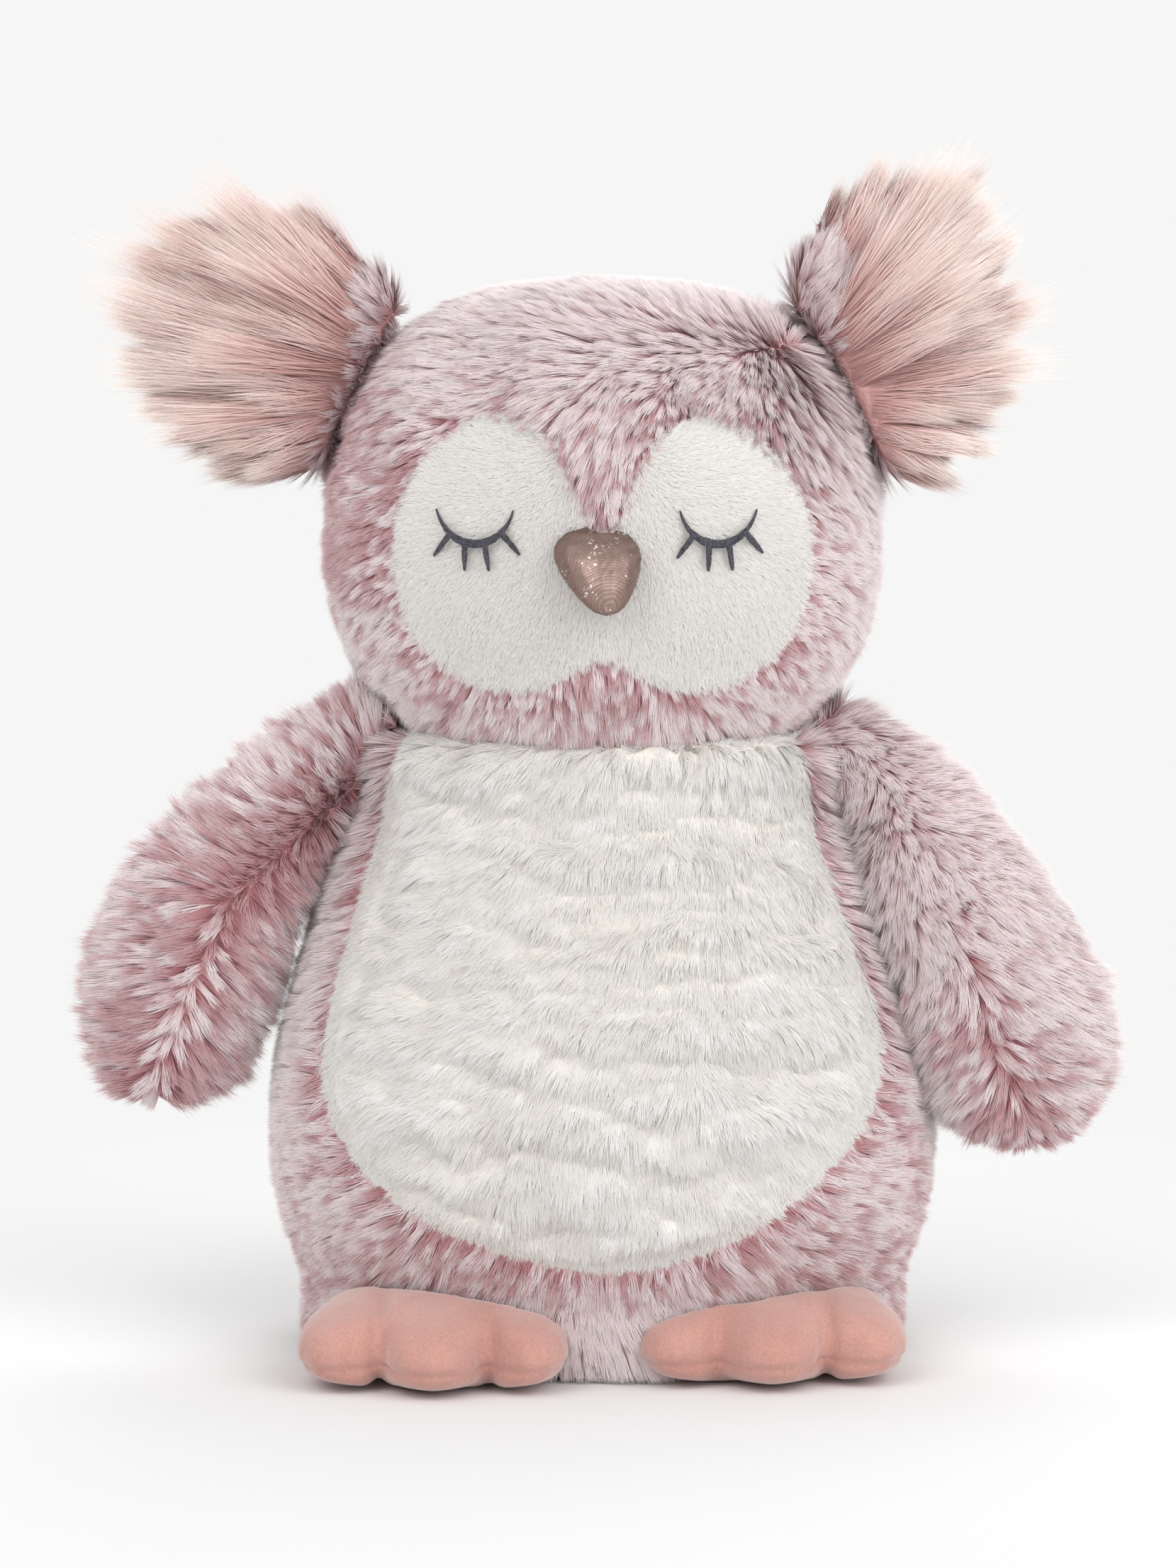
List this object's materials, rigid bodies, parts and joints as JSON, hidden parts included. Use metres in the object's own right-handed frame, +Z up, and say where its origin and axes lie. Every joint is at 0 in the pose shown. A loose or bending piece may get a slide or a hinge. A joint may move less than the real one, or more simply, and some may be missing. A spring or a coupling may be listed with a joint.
{
  "type": "plush owl",
  "caption": "Standing stuffed owl with a pear-shaped torso, pale belly and face panels, drooping wings, long-pile ear tufts, a small soft beak and velour feet.",
  "frame": {"origin": "on the floor, in the middle of the flat base", "axes": "+Z up, -Y the way the face looks, +X towards the toy's own left"},
  "size_m": [0.2395, 0.1311, 0.2744],
  "materials": {
    "tipped_plush": "dusty rose plush with pale tips and dark roots",
    "ivory_plush": "ivory plush",
    "long_pile": "long rose fur with pale tips",
    "velour": "short salmon velour",
    "foil_knit": "ribbed knit with a rose-brown foil sheen",
    "dark_thread": "charcoal embroidery thread",
    "fibre_filling": "white polyester fibre",
    "bagged_pellets": "cotton bag of small plastic pellets"
  },
  "bodies": {
    "torso": {"torso_skin": "tipped_plush", "belly_panel": "ivory_plush", "base_panel": "tipped_plush", "torso_filling": "fibre_filling", "pellet_bag": "bagged_pellets", "left_foot_upper": "velour", "left_foot_sole": "velour", "left_foot_filling": "fibre_filling", "right_foot_upper": "velour", "right_foot_sole": "velour", "right_foot_filling": "fibre_filling"},
    "head": {"head_skin": "tipped_plush", "face_panel": "ivory_plush", "head_filling": "fibre_filling", "beak_skin": "foil_knit", "beak_filling": "fibre_filling", "left_eye_stitches": "dark_thread", "right_eye_stitches": "dark_thread"},
    "left_ear": {"left_ear_tuft": "long_pile", "left_ear_backing": "tipped_plush"},
    "right_ear": {"right_ear_tuft": "long_pile", "right_ear_backing": "tipped_plush"},
    "left_wing": {"left_wing_skin": "tipped_plush", "left_wing_filling": "fibre_filling"},
    "right_wing": {"right_wing_skin": "tipped_plush", "right_wing_filling": "fibre_filling"}
  },
  "joints": [
    {"name": "head_turn", "type": "hinge", "parent": "torso", "child": "head", "pos_m": [0, 0, 0.143], "axis": [0, 0, 1], "range_deg": [-20, 20], "stiffness_Nm_per_rad": 0.05},
    {"name": "left_wing_lift", "type": "hinge", "parent": "torso", "child": "left_wing", "pos_m": [0.0575, 0, 0.15202], "axis": [0, -1, 0], "range_deg": [0, 60]},
    {"name": "right_wing_lift", "type": "hinge", "parent": "torso", "child": "right_wing", "pos_m": [-0.0575, 0, 0.1542], "axis": [0, 1, 0], "range_deg": [0, 60]},
    {"name": "left_ear_flop", "type": "hinge", "parent": "head", "child": "left_ear", "pos_m": [0.054, 0, 0.227], "axis": [-0.4384, 0, 0.8988], "range_deg": [-20, 20], "stiffness_Nm_per_rad": 0.01},
    {"name": "right_ear_flop", "type": "hinge", "parent": "head", "child": "right_ear", "pos_m": [-0.056, 0, 0.226], "axis": [-0.4067, 0, -0.9135], "range_deg": [-20, 20], "stiffness_Nm_per_rad": 0.01}
  ]
}
